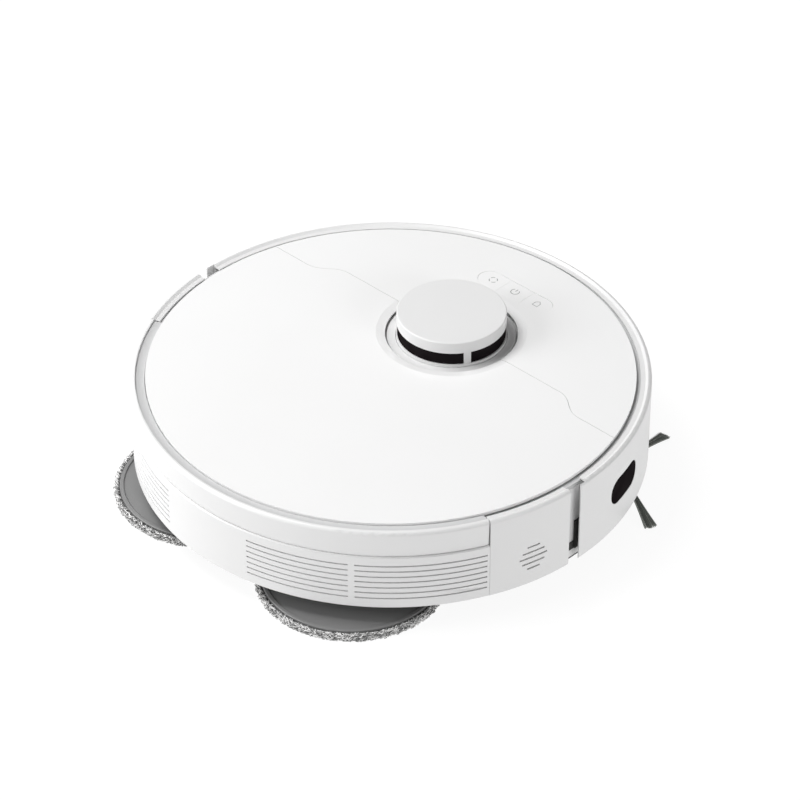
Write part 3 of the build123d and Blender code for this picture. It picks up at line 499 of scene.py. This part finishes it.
def side_brush_tufts():
    """Three fans of nylon filaments in place of the plain blades."""
    joint = next(joint for joint in frame["joints"] if joint["name"] == "side_brush_spin")
    hub = Vector(joint["pos_m"])
    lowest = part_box("side_brush_bristles")[0]
    filaments = Strands()
    tuft_angles = (6.0, 125.0, 244.5)
    filament_count = 150
    steps = 7
    reach = 59.2 * MM
    root_reach = 18 * MM
    root_height = 9.4 * MM
    root_width = 1.2 * MM
    end_width = 4.5 * MM
    fall = 7.0 * MM
    for angle in tuft_angles:
        direction = Vector((math.cos(math.radians(angle)), math.sin(math.radians(angle)), 0))
        across = Vector((-direction.y, direction.x, 0))
        root = Vector((hub.x, hub.y, root_height)) + direction * root_reach
        for _ in range(filament_count):
            spread = random_source.uniform(-1, 1)
            layer = random_source.uniform(-1, 1)
            length = reach - root_reach - random_source.uniform(0, 1.6) * MM - 0.9 * MM * abs(spread)
            points = []
            for step in range(steps):
                t = step / (steps - 1)
                width = spread * (root_width + (end_width - root_width) * t**1.6)
                drop = -fall * t**1.25
                thick = layer * (0.9 - 0.25 * t) * MM
                points.append(root + direction * length * t + across * width + Vector((0, 0, drop + thick)))
            for point in points:
                point.z = max(point.z, lowest.z + 0.15 * MM)
                point.y = max(point.y, lowest.y + 0.2 * MM)
            shade = random_source.random()
            radii = [(0.17 - 0.05 * step / (steps - 1)) * MM for step in range(steps)]
            filaments.add(points, radii, 4, shade, [0.0] * steps)
    piece = new_piece(
        "side_brush_filaments",
        filaments.vertices,
        filaments.faces,
        "bristle",
        "side_brush",
        {"strand": filaments.strand},
    )
    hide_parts("side_brush_bristles")


side_brush_tufts()


# ---- Tower windows --------------------------------------------------------------------------------


def tower_windows():
    """Three curved panes of dark glass between the pillars of the tower."""
    low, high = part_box("lds_cap")
    centre_x = (low.x + high.x) / 2
    sill_height = 3.3 * MM
    lintel_height = 12.3 * MM
    bottom, top = low.z + sill_height, low.z + lintel_height
    radius_out, radius_in = 37.0 * MM, 35.6 * MM
    half_arc = math.radians(55.5)
    steps = 40
    vertices, faces = [], []
    for pane in range(3):
        middle = math.radians(60 + 120 * pane)
        start = len(vertices)
        for step in range(steps + 1):
            angle = middle + half_arc * (2 * step / steps - 1)
            for radius, height in (
                (radius_in, bottom),
                (radius_out, bottom),
                (radius_out, top),
                (radius_in, top),
            ):
                vertices.append((centre_x + radius * math.cos(angle), radius * math.sin(angle), height))
        for step in range(steps):
            near = start + 4 * step
            for corner in range(4):
                beside = (corner + 1) % 4
                faces.append((near + corner, near + 4 + corner, near + 4 + beside, near + beside))
        faces.append((start, start + 1, start + 2, start + 3))
        last = start + 4 * steps
        faces.append((last + 3, last + 2, last + 1, last))
    new_piece("lds_panes", vertices, faces, "window_black", "tower_cap", smooth=False)


tower_windows()


# ---- Button signs --------------------------------------------------------------------------------


def icon_material():
    finish = Finish("icon_ink")
    finish.colour(finish.blend(finish.ranged(finish.noise(900), 0, 1), grey(0.26), grey(0.34)))
    finish.roughness(finish.ranged(finish.noise(600), 0.4, 0.55))
    return finish.material


finishes["icon_ink"] = icon_material()


def flat_stroke(points, width, closed=False):
    """Vertices and faces of a flat line of even width through points on one level."""
    vertices = []
    faces = []
    count = len(points)
    for index, point in enumerate(points):
        before = points[(index - 1) % count] if closed or index else point
        after = points[(index + 1) % count] if closed or index < count - 1 else point
        along = (after - before).normalized()
        side = Vector((-along.y, along.x, 0)) * width / 2
        vertices += [point + side, point - side]
    for index in range(count if closed else count - 1):
        near, far = 2 * index, 2 * ((index + 1) % count)
        faces.append((near, near + 1, far + 1, far))
    return vertices, faces


def arc(centre, radius, start, end, steps):
    """Points along an arc, angles in degrees."""
    return [
        centre
        + radius
        * Vector(
            (
                math.cos(math.radians(start + (end - start) * step / steps)),
                math.sin(math.radians(start + (end - start) * step / steps)),
                0,
            )
        )
        for step in range(steps + 1)
    ]


def button_sign(node, body, strokes):
    """Thin printed strokes on a button's top face."""
    vertices, faces = [], []
    for points, width, closed in strokes:
        stroke_vertices, stroke_faces = flat_stroke(points, width, closed)
        start = len(vertices)
        vertices += stroke_vertices
        faces += [tuple(start + corner for corner in face) for face in stroke_faces]
    piece = new_piece(f"{node}_sign", vertices, faces, "icon_ink", body, smooth=False)
    solid = piece.modifiers.new("ink", "SOLIDIFY")
    solid.thickness = 0.04 * MM
    solid.offset = 1
    return piece


def sign_centre(node):
    low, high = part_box(node)
    middle = (low + high) / 2
    y = 0.0 if abs(middle.y) < MM else math.copysign(20.5 * MM, middle.y)
    return Vector((middle.x, y, high.z + 0.01 * MM))


def make_signs():
    stroke = 0.55 * MM
    power = sign_centre("power_button")
    bar = [power + Vector((0.4 * MM, 0, 0)), power + Vector((3.2 * MM, 0, 0))]
    button_sign(
        "power_button",
        "power_key",
        [(arc(power, 3.0 * MM, 40, 320, 28), stroke, False), (bar, stroke, False)],
    )
    spot = sign_centre("spot_button")
    button_sign(
        "spot_button",
        "spot_key",
        [(arc(spot, 2.9 * MM, 90 * k + 15, 90 * k + 75, 6), stroke, False) for k in range(4)],
    )
    home = sign_centre("home_button")
    size = 2.7 * MM
    house = [
        home + Vector((-size, size * 0.8, 0)),
        home + Vector((0.3 * size, size * 0.8, 0)),
        home + Vector((1.15 * size, 0, 0)),
        home + Vector((0.3 * size, -size * 0.8, 0)),
        home + Vector((-size, -size * 0.8, 0)),
    ]
    button_sign("home_button", "home_key", [(house, stroke, True)])


make_signs()


# ---- Stage, lights and camera --------------------------------------------------------------------


def floor():
    mesh = bpy.data.meshes.new("studio_floor")
    half = 6.0
    corners = [(-half, -half, 0), (half, -half, 0), (half, half, 0), (-half, half, 0)]
    mesh.from_pydata(corners, [], [(0, 1, 2, 3)])
    plane = bpy.data.objects.new("studio_floor", mesh)
    bpy.context.scene.collection.objects.link(plane)
    material = bpy.data.materials.new("studio_white")
    material.use_nodes = True
    shader = material.node_tree.nodes["Principled BSDF"]
    shader.inputs["Base Color"].default_value = (0.12, 0.12, 0.12, 1)
    shader.inputs["Emission Color"].default_value = (1, 1, 1, 1)
    shader.inputs["Emission Strength"].default_value = 0.92
    shader.inputs["Roughness"].default_value = 0.9
    shader.inputs["Specular IOR Level"].default_value = 0.1
    mesh.materials.append(material)


def softbox(name, place, aim, size, power):
    """A square area light that looks at aim."""
    data = bpy.data.lights.new(name, "AREA")
    data.shape = "SQUARE"
    data.size = size
    data.energy = power
    light = bpy.data.objects.new(name, data)
    light.location = place
    light.rotation_euler = (Vector(place) - Vector(aim)).to_track_quat("Z", "Y").to_euler()
    bpy.context.scene.collection.objects.link(light)


def make_lights():
    world = bpy.data.worlds.new("studio")
    bpy.context.scene.world = world
    world.use_nodes = True
    world.node_tree.nodes["Background"].inputs["Color"].default_value = (1, 1, 1, 1)
    world.node_tree.nodes["Background"].inputs["Strength"].default_value = 0.17
    aim = (0, 0, 0.05)
    # The main light stands high on the left, where the covers mirror it neither to the camera nor upwards
    softbox("high_left", (-0.59, 1.27, 2.7), aim, 1.6, 73)
    softbox("left_side", (-1.95, 1.20, 0.94), aim, 1.2, 32)
    softbox("right_side", (0.10, -2.27, 0.74), aim, 0.8, 14)


def make_camera():
    """The photographer's view: from behind the machine's right side, looking down."""
    azimuth = math.radians(-136.0)
    elevation = math.radians(37.23)
    distance = 2.3794
    target = Vector((0.00886, -0.00098, 0.04748))
    back = Vector(
        (
            math.cos(azimuth) * math.cos(elevation),
            math.sin(azimuth) * math.cos(elevation),
            math.sin(elevation),
        )
    )
    data = bpy.data.cameras.new("camera")
    data.sensor_width = 36.0
    data.lens = 158.1
    data.shift_x = -0.00138
    data.shift_y = 0.00075
    data.clip_end = 30
    camera = bpy.data.objects.new("camera", data)
    camera.location = target + back * distance
    camera.rotation_euler = back.to_track_quat("Z", "Y").to_euler()
    bpy.context.scene.collection.objects.link(camera)
    bpy.context.scene.camera = camera


floor()
make_lights()
make_camera()
bpy.context.scene.view_settings.view_transform = "Standard"
